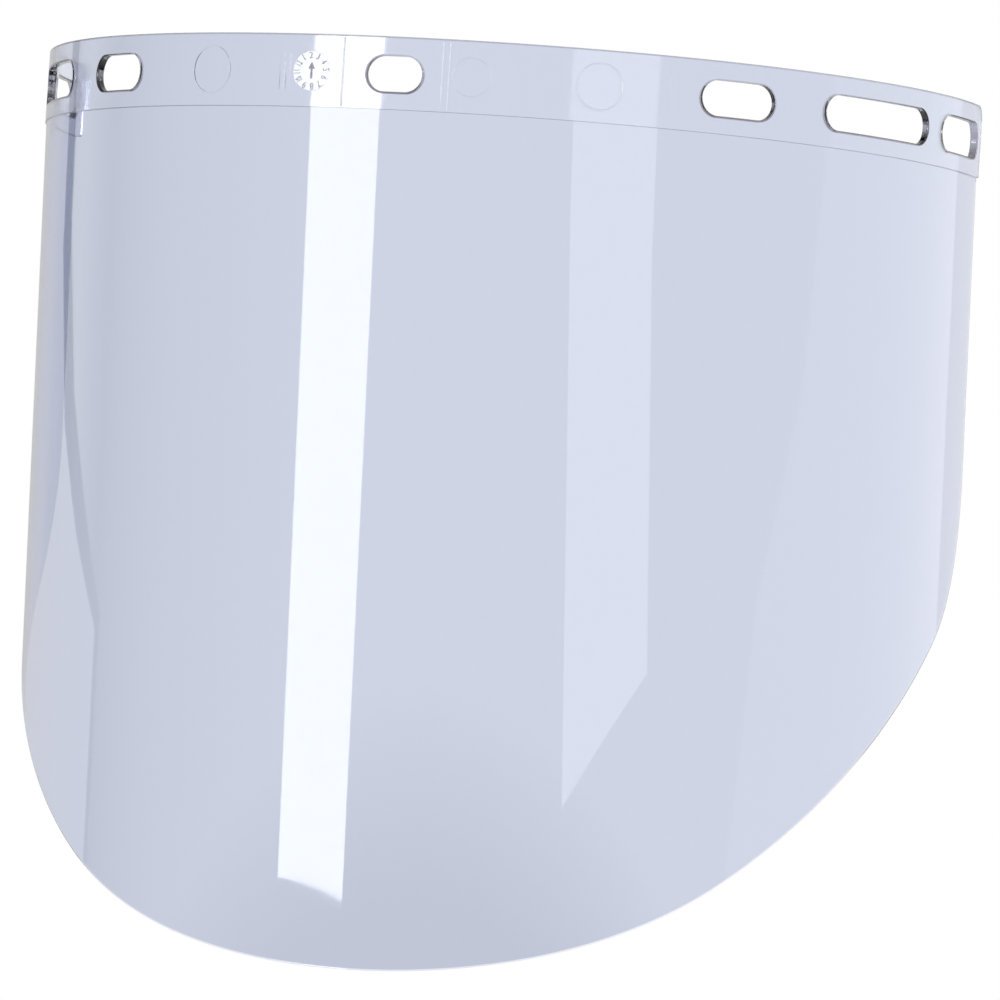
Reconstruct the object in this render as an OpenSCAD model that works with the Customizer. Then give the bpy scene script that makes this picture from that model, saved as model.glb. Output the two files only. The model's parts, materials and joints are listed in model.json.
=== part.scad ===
// Clear wrap-around window for a face shield, in millimetres.
// The window is one thin moulding, bent a little past a half circle. A slotted band runs along its
// top edge and hooks over the pins of a headgear, and the viewing panel hangs below the band.
// The origin is the centre of the band's circle, in the plane of its top edge.
// +Z is up, the wearer looks along -Y, and the window is the same left and right of X = 0.

/* [Curve] */
// Outer radius of the viewing panel
panel_r = 118; // [110:0.5:125]
// Thickness of the viewing panel
panel_t = 1; // [0.8:0.1:2]
// Angle by which the panel's foot swings back towards the throat
panel_tilt = 4.8; // [0:0.1:8]

/* [Panel outline] */
// How far the panel's two side edges run back past the centre line
side_edge_back = 4; // [3:0.1:8]
// Straight length of each side edge, below the band
side_edge_h = 74.6; // [60:0.1:85]
// Radius of the lower corner at each side edge, seen from the side
side_corner_r = 56; // [45:1:65]
// Slope of the cut that rises from the foot to the side edges, seen from the side
sweep_angle = 41.3; // [38:0.1:44]
// Distance in front of the centre line at which that cut starts to level out
foot_start = 84; // [75:1:95]
// Radius with which it levels out towards the front
foot_r = 205; // [180:5:240]

/* [Band] */
// Height of the band
band_h = 18; // [16:0.5:20]
// Step from the panel's outer face out to the band's
band_step = 0.2; // [0.1:0.1:0.4]
// Thickness of the band
band_t = 2.1; // [2:0.1:2.6]
// How far the band's two ends run back past the centre line
band_back = 6.5; // [6:0.1:10]
// Radius of the upper corner at each end of the band
band_corner_r = 4; // [2:0.5:6]

/* [Slots] */
// Height of every slot
slot_h = 9.6; // [8:0.1:10.5]
// Depth of the slots' centre line below the top edge
slot_depth = 9.2; // [8.5:0.1:9.5]
// Length of the centre slot
centre_slot_l = 14.8; // [12:0.1:18]
// Length of the pair of slots beside it
front_slot_l = 20.8; // [18:0.1:24]
// Direction of that pair, round from the front
front_slot_angle = 42.5; // [41:0.1:44]
// Length of the pair of slots at the temples
temple_slot_l = 40.3; // [36:0.1:42]
// Direction of the temple slots
temple_slot_angle = 64.9; // [64.5:0.1:65.5]
// Length of the pair of slots at the ends
end_slot_l = 27.1; // [24:0.1:28]
// Direction of the end slots
end_slot_angle = 84.8; // [84.5:0.1:85.5]

/* [Mould marks] */
// Height of the marks above the band's outer face
mark_h = 0.2; // [0.1:0.05:0.4]
// Width of the rings and lines
mark_w = 0.4; // [0.3:0.1:0.8]
// Outer radius of the two ejector rings
ejector_ring_r = 6; // [4:0.1:7]
// Direction of the ejector rings, left and right
ejector_ring_angle = 24.8; // [23:0.1:27]
// Outer radius of the date dial and of the cavity ring
dial_r = 5; // [4:0.1:6]
// Direction of the date dial, on the wearer's right
dial_angle = -10.5; // [-11.5:0.1:-9.5]
// Direction of the cavity ring, on the wearer's left
cavity_ring_angle = 9.4; // [9:0.1:11]

/* [Hidden] */
$fn = 96;
clear_plastic = [0.8, 0.85, 0.94, 0.45];
band_r = panel_r + band_step;
// Cutting tools reach this far past everything that they cut
reach = 150;
// The tilted panel's section at the band is longer front to back than its radius, so its axis starts
// this far back, and its front face meets the band's
tilt_shift = panel_r * (1 / cos(panel_tilt) - 1);
// Direction and length of each slot
SLOTS = [
    [0, centre_slot_l],
    [front_slot_angle, front_slot_l],
    [-front_slot_angle, front_slot_l],
    [temple_slot_angle, temple_slot_l],
    [-temple_slot_angle, temple_slot_l],
    [end_slot_angle, end_slot_l],
    [-end_slot_angle, end_slot_l]
];
// Direction of each line, and its height as a share of twice the slots' depth
LINES = [[-14.8, 0.55], [-14, 0.55], [-6.4, 1], [5.8, 1], [6.6, 1], [14.4, 0.6], [33.8, 0.65]];

// Points of an arc about centre c, from angle a0 to angle a1
function arc(c, r, a0, a1, steps = 16) =
    [for (i = [0 : steps]) c + r * [cos(a0 + (a1 - a0) * i / steps), sin(a0 + (a1 - a0) * i / steps)]];

// Side view of the panel, Y and then Z: side edge, corner, sloping cut and foot
side_corner_c = [side_edge_back - side_corner_r, -side_edge_h];
outward = [sin(sweep_angle), -cos(sweep_angle)];
corner_end = side_corner_c + side_corner_r * outward;
foot_from = [-foot_start, corner_end.y - (corner_end.x + foot_start) * tan(sweep_angle)];
foot_c = foot_from - foot_r * outward;
panel_profile = concat(
    [[foot_c.x, band_h], [side_edge_back, band_h]],
    arc(side_corner_c, side_corner_r, 0, sweep_angle - 90),
    arc(foot_c, foot_r, sweep_angle - 90, -90, 24)
);

// Extrudes a side view, Y and then Z, across the whole width
module across() {
    rotate([90, 0, 90]) linear_extrude(2 * reach, center = true) children();
}

// Turns what lies in front of the origin's -Y side to a direction round the band
module facing(angle) {
    rotate([0, 0, angle]) translate([0, 0, -slot_depth]) children();
}

module tube(r, t, bottom, top) {
    difference() {
        translate([0, 0, bottom]) cylinder(h = top - bottom, r = r);
        translate([0, 0, bottom - 1]) cylinder(h = top - bottom + 2, r = r - t);
    }
}

module band_side_view() {
    translate([-reach, -band_h]) square([reach + band_back - band_corner_r, band_h]);
    translate([-reach, -band_h]) square([reach + band_back, band_h - band_corner_r]);
    translate([band_back - band_corner_r, -band_corner_r]) circle(r = band_corner_r);
}

// A straight-sided slot cutter through the wall in front of it
module slot_cutter(length) {
    half = (length - slot_h) / 2;
    translate([0, -band_r, 0]) rotate([90, 0, 0]) {
        for (side = [-1, 1]) {
            translate([side * half, 0, 0]) cylinder(h = 40, d = slot_h, center = true);
        }
        cube([2 * half, slot_h, 40], center = true);
    }
}

// A short ring that stands through the wall, to be trimmed to the marks' height
module ring_mark(r) {
    rotate([90, 0, 0]) translate([0, 0, band_r - 5]) difference() {
        cylinder(h = 10, r = r);
        translate([0, 0, -1]) cylinder(h = 12, r = r - mark_w);
    }
}

module line_mark(height) {
    translate([0, -band_r, 0]) cube([mark_w, 10, height], center = true);
}

// A round insert with a flat face, which stands clear of the curve at its sides
module date_dial() {
    face = band_r + mark_h;
    rotate([90, 0, 0]) translate([0, 0, face - 1]) cylinder(h = 1, r = dial_r);
}

module marks() {
    intersection() {
        tube(band_r + mark_h, mark_h + 0.8, -band_h, 0);
        union() {
            facing(ejector_ring_angle) ring_mark(ejector_ring_r);
            facing(-ejector_ring_angle) ring_mark(ejector_ring_r);
            facing(cavity_ring_angle) ring_mark(dial_r);
            for (line = LINES) facing(line[0]) line_mark(line[1] * 2 * slot_depth);
        }
    }
    facing(dial_angle) date_dial();
}

module mounting_band() {
    color(clear_plastic) {
        difference() {
            union() {
                intersection() {
                    tube(band_r, band_t, -band_h, 0);
                    across() band_side_view();
                }
                marks();
            }
            for (slot = SLOTS) facing(slot[0]) slot_cutter(slot[1]);
        }
    }
}

module window_panel() {
    color(clear_plastic) {
        difference() {
            translate([0, tilt_shift, -band_h]) rotate([panel_tilt, 0, 0]) intersection() {
                tube(panel_r, panel_t, -reach * 2, band_h);
                across() polygon(panel_profile);
            }
            translate([-reach, -reach, -band_h]) cube([2 * reach, 2 * reach, 2 * reach]);
        }
    }
}

mounting_band();
window_panel();
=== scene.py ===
"""The looks of a clear wrap-around face shield window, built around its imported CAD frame.

The window is one thin clear moulding. Its two zones, the slotted mounting band and the viewing panel,
are each cut out as a flat pattern, triangulated, given rounded edges and then bent into place.
The window's lengths are in millimetres and its angles in radians until a mesh is made. The studio's
lengths are in metres.
"""

import json
from math import asin, atan2, ceil, cos, hypot, pi, radians, sin, sqrt, tan

import bpy
import numpy as np
from mathutils import Matrix, Vector
from mathutils.geometry import delaunay_2d_cdt


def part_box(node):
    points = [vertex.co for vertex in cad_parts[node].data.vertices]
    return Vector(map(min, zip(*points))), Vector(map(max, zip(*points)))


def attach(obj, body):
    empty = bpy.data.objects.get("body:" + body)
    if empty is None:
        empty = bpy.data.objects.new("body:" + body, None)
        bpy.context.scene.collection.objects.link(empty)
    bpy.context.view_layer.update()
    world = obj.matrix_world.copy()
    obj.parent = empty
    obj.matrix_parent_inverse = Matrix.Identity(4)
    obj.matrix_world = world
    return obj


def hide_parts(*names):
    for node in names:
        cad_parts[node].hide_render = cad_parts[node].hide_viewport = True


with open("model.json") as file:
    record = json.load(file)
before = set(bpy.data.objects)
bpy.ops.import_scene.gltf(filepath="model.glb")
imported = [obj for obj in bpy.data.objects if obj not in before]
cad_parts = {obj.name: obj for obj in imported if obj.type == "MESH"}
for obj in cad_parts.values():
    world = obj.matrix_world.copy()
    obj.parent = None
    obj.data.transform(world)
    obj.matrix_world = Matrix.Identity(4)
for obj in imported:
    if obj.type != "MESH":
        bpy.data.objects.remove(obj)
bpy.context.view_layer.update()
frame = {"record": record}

MM = 0.001
BAND_LOW, BAND_HIGH = (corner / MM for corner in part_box("mounting_band"))
PANEL_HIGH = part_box("window_panel")[1] / MM

# The band: a vertical wall
BAND_R = BAND_HIGH.x
BAND_H = -BAND_LOW.z
BAND_BACK = BAND_HIGH.y
BAND_T = 2.1
BAND_CORNER_R = 4
BAND_LOWER_CORNER_R = 0.8

# The panel: a wall that leans back towards the foot
PANEL_R = PANEL_HIGH.x
PANEL_T = 1
PANEL_TILT = radians(4.8)
SIDE_EDGE_BACK = 4
SIDE_EDGE_H = 74.6
SIDE_CORNER_R = 56
SWEEP_ANGLE = radians(41.3)
FOOT_START = 84
FOOT_R = 205
# Space between the two zones, which meet at the step below the band
ZONE_GAP = 0.004

# How far the moulding's edges are rounded, and in how many steps
EDGE_ROUND = 0.4
ROUND_STEPS = 6
# At the step: the panel's upper edge and the band's lower edge
SEAM_ROUND = 0.01
STEP_ROUND = 0.02
# Up to this far from the step, the rounding grows to that of the other edges
ROUND_GROWTH = 1.5
SLOT_ROUND = 0.5
# The slots' lower edges are rounded by this much more, and their upper edges by this much less
SLOT_ROUND_SPREAD = 0.1
# The slots' walls stand in by this much, so that their rounded edges begin where the CAD's sharp ones lie
SLOT_INSET = 0.4

# Slots, by the name of their mounts without the side
SLOT_H = 9.6
SLOT_LENGTHS = {"centre_slot": 14.8, "front_slot": 20.8, "temple_slot": 40.3, "end_slot": 27.1}

# Mould marks on the band's outer face. Directions are round from the front, positive to the wearer's left
MARK_HEIGHT = 0.09
MARK_WIDTH = 0.4
MARK_DRAFT = 0.13
# A triangle that is steeper than this is a mark's side
MARK_SLOPE = radians(14)
MARK_DEPTH_BELOW_TOP = 9.2
# Direction and outer radius of each ring
RINGS = [(-24.8, 6), (24.8, 6), (9.4, 5)]
# Direction, length and painted shade of each line
LINES = [
    (-14.8, 9.6, 0), (-14, 9.6, 0), (-6.4, 17, 0.5), (5.8, 17, 0), (6.6, 17, 0), (14.4, 10, 0), (33.8, 11, 0)
]
DIAL_ANGLE = radians(-10.5)
DIAL_R = 5
# The dial's flat face is turned a little towards the front
DIAL_FACE_TURN = radians(1.4)
NUMERAL_RING_R = 3.8
NUMERAL_SIZE = 2.4
NUMERAL_HEIGHT = 0.1
# Widths of numerals with one and with two digits, as shares of the font's
NUMERAL_WIDTHS = (0.85, 0.58)
# Painted shade on the numerals and arrow: how far their raised faces are darkened towards the band's painted
# edge colour
NUMERAL_SHADE = 0.9
# The numerals' faces are turned away from the front
NUMERAL_FACE_TURN = radians(-3)
FIRST_NUMERAL_TURN = radians(-35)
NUMERAL_TURN = radians(30)
ARROW = [(-0.25, -2), (0.25, -2), (0.25, 0.5), (0.9, 0.5), (0, 2.2), (-0.9, 0.5), (-0.25, 0.5)]


# ---------- the flat pattern and how it bends ----------

class Wall:
    """A wall bent round a circle, which may lean back.

    A point of it is an angle, a height and a depth below its outer face. None stands above its ceiling.
    """

    def __init__(self, radius, thickness, tilt=0, shift=(0, 0, 0), ceiling=0):
        self.radius = radius
        self.thickness = thickness
        self.turn = Matrix.Rotation(tilt, 3, "X")
        self.shift = Vector(shift)
        self.ceiling = ceiling

    def place(self, angle, height, depth):
        r = self.radius - depth
        point = self.turn @ Vector((r * sin(angle), -r * cos(angle), height)) + self.shift
        point.z = min(point.z, self.ceiling)
        return point

    def outward(self, angle):
        return self.turn @ Vector((sin(angle), -cos(angle), 0))

    def along(self, angle):
        return self.turn @ Vector((cos(angle), sin(angle), 0))

    def upward(self):
        return self.turn @ Vector((0, 0, 1))


class Edge:
    """A closed edge of the pattern, with the material on its left. Its points are a width and a height.

    An edge without a centre follows the bend, and its widths are measured round the outer face.
    A slot's edge is cut straight through in its centre's direction, and its widths are measured across.
    The shade is how far the edge's rounding takes the material's painted edge colour, which is painted shade
    on the band and a painted highlight on the panel: on average, and how much more where it faces up.
    """

    def __init__(self, points, rounding, centre=None, shade=(0, 0)):
        self.points = [Vector(p) for p in points]
        self.rounding = rounding if isinstance(rounding, list) else [rounding] * len(points)
        self.centre = centre
        before = [self.points[-1]] + self.points[:-1]
        after = self.points[1:] + self.points[:1]
        self.away = [Vector((c.y - a.y, a.x - c.x)).normalized() for a, c in zip(before, after)]
        self.shade = [shade[0] + shade[1] * away.y for away in self.away]

    def angle(self, wall, width, depth):
        if self.centre is None:
            return width / wall.radius
        return self.centre + asin(width / (wall.radius - depth))

    def ring(self, wall, turn, inner):
        """The edge at one step of its rounding: 0 on the face, a quarter turn on the edge's own wall."""
        for point, away, rounding in zip(self.points, self.away, self.rounding):
            moved = point - away * rounding * (1 - sin(turn))
            depth = rounding * (1 - cos(turn))
            depth = wall.thickness - depth if inner else depth
            angle = self.angle(wall, moved.x, depth)
            face = wall.outward(angle) * (-1 if inner else 1)
            across = wall.along(angle if self.centre is None else self.centre)
            side = across * away.x + wall.upward() * away.y
            yield angle, moved.y, depth, face * cos(turn) + side * sin(turn)


def arc(centre, radius, start, end, step=0.4):
    count = max(2, ceil(abs(end - start) * radius / step))
    turns = [start + (end - start) * i / count for i in range(count + 1)]
    return [(centre[0] + radius * cos(a), centre[1] + radius * sin(a)) for a in turns]


def straight(start, end, step):
    """Points from start to just before end."""
    count = max(1, ceil(hypot(end[0] - start[0], end[1] - start[1]) / step))
    return [(start[0] + (end[0] - start[0]) * i / count, start[1] + (end[1] - start[1]) * i / count)
            for i in range(count)]


def circle(centre, radius, step=0.35):
    return arc(centre, radius, 0, 2 * pi, step)[:-1]


def grown_rounding(start, distance):
    """The rounding of an outline at a distance from the step, where it has its starting value."""
    return start + (EDGE_ROUND - start) * min(1, max(0, distance / ROUND_GROWTH))


def slot_outline(length):
    """A slot with round ends, clockwise, so that the material lies on its left."""
    r = SLOT_H / 2 - SLOT_INSET
    half = (length - SLOT_H) / 2
    y = -MARK_DEPTH_BELOW_TOP
    right = arc((half, y), r, pi / 2, -pi / 2)
    left = arc((-half, y), r, -pi / 2, -3 * pi / 2)
    across = straight((-half, y + r), (half, y + r), 1)[1:]
    back = straight((half, y - r), (-half, y - r), 1)[1:]
    return across + right + back + left


class Patch:
    """A raised region of the outer face: closed loops, each with its height above the face.

    Within its reach it takes no points of the grid, and where it is flat it faces one way. The shade
    is painted shade on its outlines: how far they are darkened towards the band's painted edge colour.
    """

    def __init__(self, centre, reach, facing=None, shade=0):
        self.centre = Vector(centre)
        self.reach = reach
        self.facing = facing
        self.shade = shade
        self.loops = []
        self.letters = []

    def loop(self, points, raised):
        self.loops.append((points, raised))


# ---------- triangulating the pattern and making the mesh ----------

def inside(points, outline):
    """Which points lie inside a closed outline, by counting crossings."""
    hit = np.zeros(len(points), bool)
    x, y = points[:, 0], points[:, 1]
    for (ax, ay), (bx, by) in zip(outline, outline[1:] + outline[:1]):
        if ay != by:
            crosses = (ay > y) != (by > y)
            hit ^= crosses & (x < (bx - ax) * (y - ay) / (by - ay) + ax)
    return hit


def grid(outline, holes, patches, pitch):
    """Points of a regular grid inside the pattern, clear of its edges and of what stands on it."""
    low, high = np.min(outline, axis=0), np.max(outline, axis=0)
    xs = np.arange(ceil(low[0] / pitch[0]), high[0] / pitch[0]) * pitch[0]
    ys = np.arange(ceil(low[1] / pitch[1]), high[1] / pitch[1]) * pitch[1]
    points = np.array([(x, y) for x in xs for y in ys])
    keep = inside(points, outline)
    for hole in holes:
        keep &= ~inside(points, hole)
    points = points[keep]
    edges = [outline] + holes + [loop for patch in patches for loop, _ in patch.loops]
    clear = 0.35 * min(pitch)
    for edge in edges:
        edge = np.array(edge)
        near = (points > edge.min(0) - clear).all(1) & (points < edge.max(0) + clear).all(1)
        close = np.zeros(len(points), bool)
        for i in np.flatnonzero(near):
            close[i] = ((edge - points[i]) ** 2).sum(1).min() < clear ** 2
        points = points[~close]
    for patch in patches:
        points = points[np.hypot(*(points - patch.centre).T) > patch.reach]
    return [tuple(p) for p in points]


class Sheet:
    """A bent sheet in the making: its points, the way the surface faces at each, and its faces."""

    def __init__(self, wall):
        self.wall = wall
        self.points = []
        self.normals = []
        self.shades = []
        self.faces = []
        self.flat = []

    def add(self, angle, height, depth, normal):
        return self.add_point(self.wall.place(angle, height, depth), normal.normalized())

    def add_point(self, point, normal):
        self.points.append(point)
        self.normals.append(normal)
        self.shades.append(0)
        return len(self.points) - 1

    def face(self, corners, flat=False):
        self.faces.append(corners)
        self.flat.append(flat)

    def edge(self, edge):
        """Builds an edge's rounding and wall. Gives its rings on the outer and inner faces."""
        steps = [(pi / 2 * i / ROUND_STEPS, False) for i in range(ROUND_STEPS + 1)]
        steps += [(turn, True) for turn, _ in reversed(steps)]
        rings = [[self.add(*p) for p in edge.ring(self.wall, turn, inner)] for turn, inner in steps]
        # The rings between the two faces take the edge's shade, which the material paints onto the rounding
        for ring in rings[1:-1]:
            for i, shade in zip(ring, edge.shade):
                self.shades[i] = shade
        for ring, deeper in zip(rings, rings[1:]):
            for i in range(len(ring)):
                j = (i + 1) % len(ring)
                self.face((ring[i], deeper[i], deeper[j], ring[j]))
        return rings[0], rings[-1]

    def skin(self, edges, rings, inner, pitch, patches=()):
        """Fills one face of the sheet between its edges, with what stands on it."""
        wall = self.wall
        depth = wall.thickness if inner else 0
        facing = -1 if inner else 1
        flat_edges = [[(p[0] * wall.radius, p[1]) for p in edge.ring(wall, 0, inner)] for edge in edges]
        points, known, lines, faces = [], [], [], []

        def put(new, index=None):
            start = len(points)
            points.extend(new)
            known.extend(index or [None] * len(new))
            return list(range(start, len(points)))

        for flat, ring in zip(flat_edges, rings):
            loop = put(flat, ring)
            faces.append(loop if flat is flat_edges[0] else loop[::-1])
        heights, turned, shaded = {}, {}, {}
        for patch in patches:
            for loop, raised in patch.loops:
                ids = put(loop)
                lines.extend(zip(ids, ids[1:] + ids[:1]))
                heights.update((i, raised(loop[i - ids[0]])) for i in ids)
                turned.update((i, patch.facing) for i in ids)
                shaded.update((i, patch.shade) for i in ids)
            for letter, polygons, raised in patch.letters:
                ids = put(letter)
                heights.update((i, raised(letter[i - ids[0]])) for i in ids)
                turned.update((i, patch.facing) for i in ids)
                lines.extend((ids[a], ids[b]) for polygon in polygons
                             for a, b in zip(polygon, polygon[1:] + polygon[:1]))
        put(grid(flat_edges[0], flat_edges[1:], patches, pitch))

        flat, _, triangles, sources, _, owners = delaunay_2d_cdt(
            [Vector(p) for p in points], lines, faces, 0, 1e-6, True)
        index = []
        for point, source in zip(flat, sources):
            ids = [known[s] for s in source if known[s] is not None]
            raised = max([heights.get(s, 0) for s in source], default=0)
            angle = point.x / wall.radius
            way = next((turned[s] for s in source if turned.get(s) is not None), angle)
            index.append(ids[0] if ids else self.add(
                angle, point.y, depth - raised, wall.outward(way if raised else angle) * facing))
            # Points on a mark's outline take the mark's painted shade
            self.shades[index[-1]] = max([shaded.get(s, 0) for s in source], default=self.shades[index[-1]])
        middles = np.array([[sum(flat[c][axis] for c in t) / 3 for axis in (0, 1)] for t in triangles])
        lettered = np.zeros(len(triangles), bool)
        for letter, polygons, _ in (each for patch in patches for each in patch.letters):
            for polygon in polygons:
                lettered |= inside(middles, [letter[c] for c in polygon])
        on_letter = []
        for triangle, owner, is_letter in zip(triangles, owners, lettered):
            if owner != [0]:
                continue
            corners = [index[c] for c in triangle]
            if is_letter:
                on_letter.append(corners)
            else:
                self.face(corners[::-1] if inner else corners, self.is_sloped(corners))
        self.raise_faces(on_letter, NUMERAL_HEIGHT, wall.outward(DIAL_ANGLE + NUMERAL_FACE_TURN))

    def is_sloped(self, corners):
        """True for the side of a raised mark, which keeps its own flat shading."""
        a, b, c = (self.points[i] for i in corners)
        return abs((b - a).cross(c - a).normalized().dot(self.normals[corners[0]])) < cos(MARK_SLOPE)

    def raise_faces(self, triangles, height, facing):
        """Lifts a group of triangles off the face and closes its sides."""
        lifted = {}
        for corner in {c for t in triangles for c in t}:
            lifted[corner] = self.add_point(self.points[corner] + self.normals[corner] * height, facing)
            # The lifted faces take the numerals' painted shade
            self.shades[lifted[corner]] = NUMERAL_SHADE
        sides = {(t[i], t[(i + 1) % 3]) for t in triangles for i in range(3)}
        for t in triangles:
            self.face([lifted[c] for c in t])
        for a, b in sorted(sides):
            if (b, a) not in sides:
                self.face((a, b, lifted[b], lifted[a]), True)

    def make(self, name):
        mesh = bpy.data.meshes.new(name)
        mesh.from_pydata([p * MM for p in self.points], [], self.faces)
        normals = []
        for polygon, corners, flat in zip(mesh.polygons, self.faces, self.flat):
            own = tuple(polygon.normal)
            normals += [own if flat else tuple(self.normals[c]) for c in corners]
        mesh.polygons.foreach_set("use_smooth", [True] * len(self.faces))
        mesh.normals_split_custom_set(normals)
        # The shades reach the material as the edge attribute: the band's painted shade and the panel's
        # painted highlight
        mesh.attributes.new("edge", "FLOAT", "POINT").data.foreach_set("value", self.shades)
        piece = bpy.data.objects.new(name, mesh)
        bpy.context.scene.collection.objects.link(piece)
        return piece


# ---------- the band ----------

def band_outline():
    end = BAND_R * (pi / 2 + asin(BAND_BACK / BAND_R))
    r, s = BAND_CORNER_R, BAND_LOWER_CORNER_R
    bottom = straight((-end + s, -BAND_H), (end - s, -BAND_H), 1)
    lower_right = arc((end - s, -BAND_H + s), s, -pi / 2, 0, 0.12)
    right = straight((end, -BAND_H + s), (end, -r), 1)[1:]
    upper_right = arc((end - r, -r), r, 0, pi / 2)
    top = straight((end - r, 0), (-end + r, 0), 1)[1:]
    upper_left = arc((-end + r, -r), r, pi / 2, pi)
    left = straight((-end, -r), (-end, -BAND_H + s), 1)[1:]
    lower_left = arc((-end + s, -BAND_H + s), s, pi, 3 * pi / 2, 0.12)[:-1]
    return bottom + lower_right + right + upper_right + top + upper_left + left + lower_left


def ring_patch(angle, radius):
    centre = (BAND_R * angle, -MARK_DEPTH_BELOW_TOP)
    patch = Patch(centre, 0)
    for r, raised in ((radius, 0), (radius - MARK_DRAFT, MARK_HEIGHT),
                      (radius - MARK_WIDTH + MARK_DRAFT, MARK_HEIGHT), (radius - MARK_WIDTH, 0)):
        patch.loop(circle(centre, r), lambda point, raised=raised: raised)
    return patch


def line_patch(angle, length, shade):
    x, y = BAND_R * angle, -MARK_DEPTH_BELOW_TOP
    patch = Patch((x, y), 0, None, shade)
    for inset, raised in ((0, 0), (MARK_DRAFT, MARK_HEIGHT)):
        w, h = MARK_WIDTH / 2 - inset, length / 2 - inset
        corners = [(x - w, y - h), (x + w, y - h), (x + w, y + h), (x - w, y + h)]
        outline = [p for a, b in zip(corners, corners[1:] + corners[:1]) for p in straight(a, b, 1.5)]
        patch.loop(outline, lambda point, raised=raised: raised)
    return patch


def numeral(text, size):
    """The flat outline of a numeral, filled with polygons, about its own centre."""
    curve = bpy.data.curves.new("numeral", "FONT")
    curve.body = text
    curve.size = size
    curve.align_x = "CENTER"
    curve.align_y = "CENTER"
    curve.resolution_u = 3
    written = bpy.data.objects.new("numeral", curve)
    bpy.context.scene.collection.objects.link(written)
    depsgraph = bpy.context.evaluated_depsgraph_get()
    mesh = bpy.data.meshes.new_from_object(written.evaluated_get(depsgraph))
    points = [Vector((v.co.x * NUMERAL_WIDTHS[len(text) - 1], v.co.y)) for v in mesh.vertices]
    polygons = [list(p.vertices) if p.normal.z > 0 else list(p.vertices)[::-1] for p in mesh.polygons]
    bpy.data.objects.remove(written)
    bpy.data.curves.remove(curve)
    bpy.data.meshes.remove(mesh)
    return points, polygons


def dial_patch():
    """A round insert's print: a flat face with the twelve months round an arrow."""
    centre = Vector((BAND_R * DIAL_ANGLE, -MARK_DEPTH_BELOW_TOP))
    facing = DIAL_ANGLE + DIAL_FACE_TURN
    patch = Patch(centre, DIAL_R + 0.2, facing)

    def on_face(point):
        middle = (BAND_R + MARK_HEIGHT) * cos(DIAL_FACE_TURN)
        return middle / cos(point[0] / BAND_R - facing) - BAND_R

    patch.loop(circle(centre, DIAL_R), lambda point: 0)
    patch.loop(circle(centre, DIAL_R - MARK_DRAFT), on_face)
    for month in range(12):
        turn = FIRST_NUMERAL_TURN + month * NUMERAL_TURN
        points, polygons = numeral(str(month + 1), NUMERAL_SIZE)
        spin = Matrix.Rotation(-turn, 2)
        placed = [centre + spin @ (p + Vector((0, NUMERAL_RING_R))) for p in points]
        patch.letters.append(([tuple(p) for p in placed], polygons, on_face))
    arrow = [tuple(centre + Vector(p)) for p in ARROW]
    patch.letters.append((arrow, [list(range(len(ARROW)))], on_face))
    return patch


def slot_edges():
    """The seven slots, where the record's mounts put them."""
    edges = []
    for mount in frame["record"]["mounts"]:
        name = mount["name"].removesuffix("_left").removesuffix("_right")
        if name in SLOT_LENGTHS:
            centre = atan2(mount["axis"][0], -mount["axis"][1])
            outline = slot_outline(SLOT_LENGTHS[name])
            half = SLOT_H / 2 - SLOT_INSET
            rounding = [SLOT_ROUND - SLOT_ROUND_SPREAD * (y + MARK_DEPTH_BELOW_TOP) / half
                        for _, y in outline]
            # Painted shade along the slots' rounded edges, darkest on their lower edges, which face up
            edges.append(Edge(outline, rounding, centre, (0.7, 0.3)))
    return edges


def build_band():
    sheet = Sheet(Wall(BAND_R, BAND_T))
    outline = band_outline()
    rounding = [grown_rounding(STEP_ROUND, y + BAND_H) for _, y in outline]
    # Painted shade along the band's outline: darker along its top edge, none along its lower edge
    edges = [Edge(outline, rounding, None, (0.25, 0.25))] + slot_edges()
    rings = [sheet.edge(edge) for edge in edges]
    patches = [ring_patch(radians(angle), radius) for angle, radius in RINGS]
    patches += [line_patch(radians(angle), length, shade) for angle, length, shade in LINES]
    patches.append(dial_patch())
    pitch = (1.0, 1.5)
    sheet.skin(edges, [ring[0] for ring in rings], False, pitch, patches)
    sheet.skin(edges, [ring[1] for ring in rings], True, pitch)
    return sheet.make("mounting_band")


# ---------- the panel ----------

def panel_top(angle):
    """Height of the panel's level upper edge, in the leaning panel's own frame."""
    return PANEL_R * cos(angle) * tan(PANEL_TILT)


def panel_foot(angle):
    """Height of the panel's lower edge, in the leaning panel's own frame."""
    y = -PANEL_R * cos(angle)
    corner_y, corner_z = SIDE_EDGE_BACK - SIDE_CORNER_R, -SIDE_EDGE_H
    corner_end_y = corner_y + SIDE_CORNER_R * sin(SWEEP_ANGLE)
    corner_end_z = corner_z - SIDE_CORNER_R * cos(SWEEP_ANGLE)
    if y > corner_end_y:
        return corner_z - sqrt(max(0, SIDE_CORNER_R ** 2 - (y - corner_y) ** 2))
    if y > -FOOT_START:
        return corner_end_z + (y - corner_end_y) * tan(SWEEP_ANGLE)
    foot_start_z = corner_end_z - (corner_end_y + FOOT_START) * tan(SWEEP_ANGLE)
    foot_y = -FOOT_START - FOOT_R * sin(SWEEP_ANGLE)
    foot_z = foot_start_z + FOOT_R * cos(SWEEP_ANGLE)
    return foot_z - sqrt(FOOT_R ** 2 - (y - foot_y) ** 2)


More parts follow.
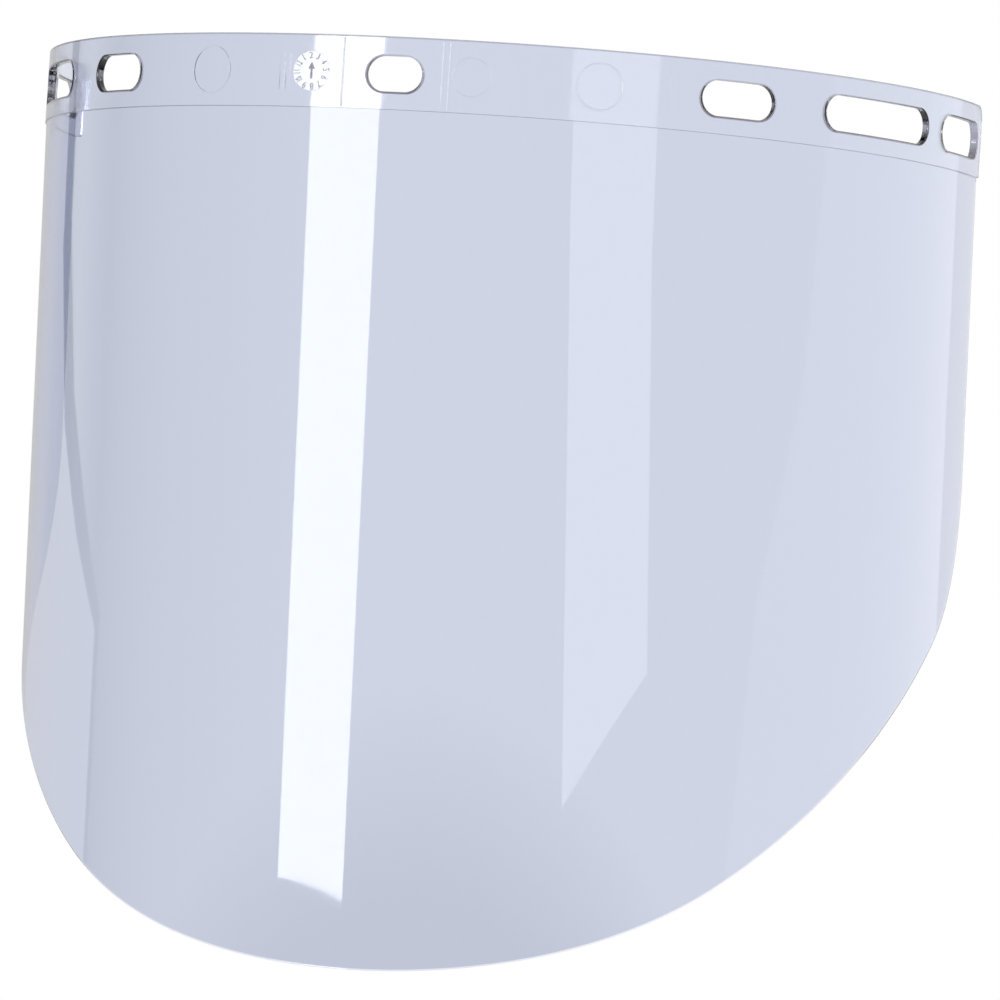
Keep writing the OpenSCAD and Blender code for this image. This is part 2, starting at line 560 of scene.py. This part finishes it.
def panel_outline():
    """Round the panel from the left end of its foot: foot, right side, top and left side."""
    end = pi / 2 + asin(SIDE_EDGE_BACK / PANEL_R)
    # The columns crowd towards the ends, where the foot's corner turns up into the side edge
    count = 300
    angles = [end * sin(pi / 2 * (2 * i / count - 1)) for i in range(count + 1)]
    foot = [(PANEL_R * a, panel_foot(a)) for a in angles]
    right = straight(foot[-1], (PANEL_R * end, panel_top(end)), 1.5)[1:]
    top_count = 380
    top_angles = [end - 2 * end * i / top_count for i in range(top_count + 1)]
    top = [(PANEL_R * a, panel_top(a)) for a in top_angles]
    left = straight(top[-1], foot[0], 1.5)[1:]
    return foot + right + top + left


def build_panel():
    shift = (0, PANEL_R * (1 / cos(PANEL_TILT) - 1), -BAND_H)
    sheet = Sheet(Wall(PANEL_R, PANEL_T, PANEL_TILT, shift, -BAND_H - ZONE_GAP))
    outline = panel_outline()
    rounding = [grown_rounding(SEAM_ROUND, panel_top(x / PANEL_R) - y) for x, y in outline]
    # A painted highlight along the panel's edges: with the panel's white edge colour they show as pale lines
    edge = Edge(outline, rounding, None, (0.9, -0.1))
    outer, inner = sheet.edge(edge)
    pitch = (1.6, 4)
    sheet.skin([edge], [outer], False, pitch)
    sheet.skin([edge], [inner], True, pitch)
    return sheet.make("window_panel")


# ---------- materials ----------

def principled(name, colour, roughness, **sockets):
    material = bpy.data.materials.new(name)
    material.use_nodes = True
    shader = material.node_tree.nodes["Principled BSDF"]
    shader.inputs["Base Color"].default_value = (*colour, 1)
    shader.inputs["Roughness"].default_value = roughness
    for socket, value in sockets.items():
        shader.inputs[socket.replace("_", " ")].default_value = value
    return material, shader


def noise(tree, scale, detail):
    """Noise in the object's own metres."""
    place = tree.nodes.new("ShaderNodeTexCoord")
    texture = tree.nodes.new("ShaderNodeTexNoise")
    texture.inputs["Scale"].default_value = scale
    texture.inputs["Detail"].default_value = detail
    tree.links.new(place.outputs["Object"], texture.inputs["Vector"])
    return texture.outputs["Fac"]


def varied(tree, source, target, low, high):
    spread = tree.nodes.new("ShaderNodeMapRange")
    spread.inputs["From Min"].default_value = 0.3
    spread.inputs["From Max"].default_value = 0.7
    spread.inputs["To Min"].default_value = low
    spread.inputs["To Max"].default_value = high
    tree.links.new(source, spread.inputs["Value"])
    tree.links.new(spread.outputs["Result"], target)


def mix(tree, factor, first, second, kind="MIX"):
    node = tree.nodes.new("ShaderNodeMixRGB")
    node.blend_type = kind
    for value, socket in ((factor, "Fac"), (first, "Color1"), (second, "Color2")):
        if isinstance(value, (int, float, tuple)):
            node.inputs[socket].default_value = value
        else:
            tree.links.new(value, node.inputs[socket])
    return node.outputs["Color"]


def clear_plastic(name, colour, painted_edge_colour, roughness, haze_scale, wave, wave_scale):
    """Clear moulded polycarbonate, with uneven polish and the slight waviness of a moulded face.

    Its edges take a painted colour: on the band a painted shade, dark lines along its edges, slots and
    marks;
    on the panel a painted highlight, pale lines along its edges.
    """
    material, shader = principled(name, colour, roughness[0], Transmission_Weight=1.0, IOR=1.585)
    tree = material.node_tree
    # How far each point takes the painted edge colour, read from the edge attribute
    edge = tree.nodes.new("ShaderNodeAttribute")
    edge.attribute_name = "edge"
    tint_with_painted_edges = mix(tree, edge.outputs["Fac"], (*colour, 1), (*painted_edge_colour, 1))
    tree.links.new(tint_with_painted_edges, shader.inputs["Base Color"])
    varied(tree, noise(tree, haze_scale, 3), shader.inputs["Roughness"], *roughness)
    bump = tree.nodes.new("ShaderNodeBump")
    bump.inputs["Strength"].default_value = 1
    bump.inputs["Distance"].default_value = wave
    tree.links.new(noise(tree, wave_scale, 1), bump.inputs["Height"])
    tree.links.new(bump.outputs["Normal"], shader.inputs["Normal"])
    return material


# ---------- the studio ----------

# Brightness of the mirrored room and of the soft wall round about, from 0 at the back through the
# wearer's right, front (0.5) and left to 1
ROOM = [
    (0, 0.9), (0.03, 0.7), (0.07, 0.7), (0.135, 0.75), (0.142, 0.03), (0.23, 0.03), (0.24, 0.5), (0.8, 1)
]
WALL = [(0.192, 0.54), (0.23, 0.2), (0.297, 0.48), (0.35, 0.64), (0.458, 0.94), (0.736, 0.94)]
# Heights between which the soft wall fades in from its foot
WALL_FADE = (-0.39, -0.32)
# Parts that each row of a reflector is divided into
REFLECTOR_PARTS = 12


def build_floor():
    half, drop = 12, 2.2
    mesh = bpy.data.meshes.new("floor")
    corners = [(-half, -half, -drop), (half, -half, -drop), (half, half, -drop), (-half, half, -drop)]
    mesh.from_pydata(corners, [], [(0, 1, 2, 3)])
    floor = bpy.data.objects.new("floor", mesh)
    bpy.context.scene.collection.objects.link(floor)
    material, _ = principled("pale_floor", (0.9, 0.9, 0.9), 0.8)
    mesh.materials.append(material)


def ramp(tree, source, stops):
    """A colour from a value between 0 and 1. Each stop is a position and a grey or a colour."""
    node = tree.nodes.new("ShaderNodeValToRGB")
    for _ in stops[2:]:
        node.color_ramp.elements.new(0.5)
    for element, (position, colour) in zip(node.color_ramp.elements, stops):
        element.position = position
        element.color = (*colour, 1) if isinstance(colour, tuple) else (colour, colour, colour, 1)
    tree.links.new(source, node.inputs["Fac"])
    return node.outputs["Color"]


def scaled(tree, source, low, high):
    """A value brought from the range low to high down to 0 to 1."""
    node = tree.nodes.new("ShaderNodeMapRange")
    node.inputs["From Min"].default_value = low
    node.inputs["From Max"].default_value = high
    tree.links.new(source, node.inputs["Value"])
    return node.outputs["Result"]


def direction(tree, output):
    """Height of a direction or a place, and how far round it is, from 0 to 1 as in ROOM and WALL."""
    place = tree.nodes.new("ShaderNodeTexCoord").outputs[output]
    split = tree.nodes.new("ShaderNodeSeparateXYZ")
    tree.links.new(place, split.inputs["Vector"])
    turned = tree.nodes.new("ShaderNodeMapping")
    turned.inputs["Rotation"].default_value = (0, 0, radians(90))
    tree.links.new(place, turned.inputs["Vector"])
    radial = tree.nodes.new("ShaderNodeTexGradient")
    radial.gradient_type = "RADIAL"
    tree.links.new(turned.outputs["Vector"], radial.inputs["Vector"])
    return split.outputs["Z"], radial.outputs["Fac"]


def build_world():
    """White all round, but the window mirrors a dimmer room."""
    world = bpy.data.worlds.new("studio")
    bpy.context.scene.world = world
    world.use_nodes = True
    tree = world.node_tree
    tree.nodes.clear()
    output = tree.nodes.new("ShaderNodeOutputWorld")
    background = tree.nodes.new("ShaderNodeBackground")
    tree.links.new(background.outputs["Background"], output.inputs["Surface"])
    path = tree.nodes.new("ShaderNodeLightPath")
    _, round_about = direction(tree, "Generated")
    colour = mix(tree, path.outputs["Glossy Depth"], (1, 1, 1, 1), ramp(tree, round_about, ROOM))
    tree.links.new(colour, background.inputs["Color"])


def reflector(name, distance, left, right, radiance):
    """A glowing panel between two edges, which the window mirrors and nothing else sees.

    Each edge is a list of heights and directions, with directions in degrees round from the front.
    """
    points, faces = [], []
    per_row = REFLECTOR_PARTS + 1
    for (low, a), (high, b) in zip(left, right):
        for part in range(per_row):
            share = part / REFLECTOR_PARTS
            turn = radians(a + (b - a) * share)
            points.append((distance * sin(turn), -distance * cos(turn), low + (high - low) * share))
    for row in range(len(left) - 1):
        for part in range(REFLECTOR_PARTS):
            i = per_row * row + part
            faces.append((i, i + 1, i + per_row + 1, i + per_row))
    mesh = bpy.data.meshes.new(name)
    mesh.from_pydata(points, [], faces)
    panel = bpy.data.objects.new(name, mesh)
    bpy.context.scene.collection.objects.link(panel)
    material = bpy.data.materials.new(name)
    material.use_nodes = True
    material.cycles.emission_sampling = "NONE"
    tree = material.node_tree
    tree.nodes.clear()
    output = tree.nodes.new("ShaderNodeOutputMaterial")
    glow = tree.nodes.new("ShaderNodeEmission")
    glow.inputs["Strength"].default_value = radiance
    path = tree.nodes.new("ShaderNodeLightPath")
    shown = tree.nodes.new("ShaderNodeMixShader")
    tree.links.new(path.outputs["Glossy Depth"], shown.inputs["Fac"])
    tree.links.new(tree.nodes.new("ShaderNodeBsdfTransparent").outputs["BSDF"], shown.inputs[1])
    tree.links.new(glow.outputs["Emission"], shown.inputs[2])
    tree.links.new(shown.outputs["Shader"], output.inputs["Surface"])
    mesh.materials.append(material)
    return tree, glow


def build_reflectors():
    """Two upright strips, and a large soft wall behind them that fades out towards its foot. The wall
    stands between a side wall and the end of the backdrop, with a dark gap before the backdrop."""
    reflector("key_strip_top", 1.3, [(0.3, -34.3), (-0.03, -34.3)], [(0.3, -17), (-0.03, -17)], 8.0)
    reflector("key_strip", 1.3, [(-0.03, -34.3), (-0.331, -34.4)], [(-0.03, -17), (-0.351, -17.9)], 5.0)
    reflector("fill_strip", 1.3, [(0.3, 27), (0, 27), (-0.13, 28.4), (-0.307, 33.1)],
              [(0.3, 47.6), (0, 47.6), (-0.12, 48.2), (-0.241, 52)], 2.2)
    reflector("backdrop_end", 1.6,
              [(1.6, -150), (0.02, -150), (-0.05, -150), (-0.105, -150), (-0.16, -150), (-0.42, -150)],
              [(1.6, -124), (0.02, -124), (-0.05, -117.5), (-0.105, -108), (-0.16, -97), (-0.42, -99)], 0.75)
    reflector("side_wall", 1.9, [(1.6, 60), (-0.6, 60)], [(1.6, 150), (-0.6, 150)], 1.4)
    tree, glow = reflector(
        "soft_wall", 1.6,
        [(1.6, -119), (0.02, -119), (-0.05, -112.5), (-0.105, -104), (-0.16, -95), (-0.42, -99)],
        [(1.6, 95), (0.02, 95), (-0.09, 90), (-0.18, 80), (-0.3, 74), (-0.42, 70)], 1.25)
    height, round_about = direction(tree, "Object")
    fade = ramp(tree, scaled(tree, height, *WALL_FADE), [(0, 0), (1, 1)])
    level = ramp(tree, round_about, WALL)
    tree.links.new(mix(tree, 1, level, fade, "MULTIPLY"), glow.inputs["Color"])


def build_top_light():
    light = bpy.data.lights.new("top_light", "AREA")
    light.shape = "DISK"
    light.size = 1.5
    light.energy = 20
    lamp = bpy.data.objects.new("top_light", light)
    bpy.context.scene.collection.objects.link(lamp)
    lamp.location = (0.3, -0.4, 2)
    lamp.visible_camera = False
    lamp.visible_glossy = False
    lamp.visible_transmission = False


def build_camera():
    """A long lens, a little to the wearer's left of the front and a little below the window."""
    azimuth, elevation, roll = radians(15.31), radians(-4.79), radians(3.88)
    distance, lens = 5.34, 766.9
    aim = Vector((-0.5, 8.9, -104.1)) * MM
    outward = Vector((sin(azimuth) * cos(elevation), -cos(azimuth) * cos(elevation), sin(elevation)))
    place = outward * distance
    back = (place - aim).normalized()
    level = Vector((0, 0, 1)).cross(back).normalized()
    upright = back.cross(level)
    right = cos(roll) * level + sin(roll) * upright
    up = cos(roll) * upright - sin(roll) * level
    data = bpy.data.cameras.new("camera")
    data.lens = lens
    data.sensor_width = 36
    data.clip_end = 100
    camera = bpy.data.objects.new("camera", data)
    bpy.context.scene.collection.objects.link(camera)
    turn = Matrix((right, up, back)).transposed().to_4x4()
    camera.matrix_world = Matrix.Translation(place) @ turn
    bpy.context.scene.camera = camera


# ---------- putting it together ----------

build_camera()
build_floor()
build_world()
build_reflectors()
build_top_light()

bpy.context.scene.view_settings.view_transform = "Standard"

band = build_band()
# The band's dark edge colour is painted shade; the panel's white edge colour is a painted highlight
band.data.materials.append(clear_plastic(
    "clear_band", (0.60, 0.635, 0.76), (0.08, 0.06, 0.08), (0.02, 0.08), 220, 3e-6, 300))
panel = build_panel()
panel.data.materials.append(clear_plastic(
    "clear_panel", (0.59, 0.625, 0.755), (0.95, 0.96, 1), (0.0, 0.02), 60, 1e-6, 30))
for piece, node, slot in ((band, "mounting_band", "clear_band"), (panel, "window_panel", "clear_panel")):
    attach(piece, "root")
    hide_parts(node)
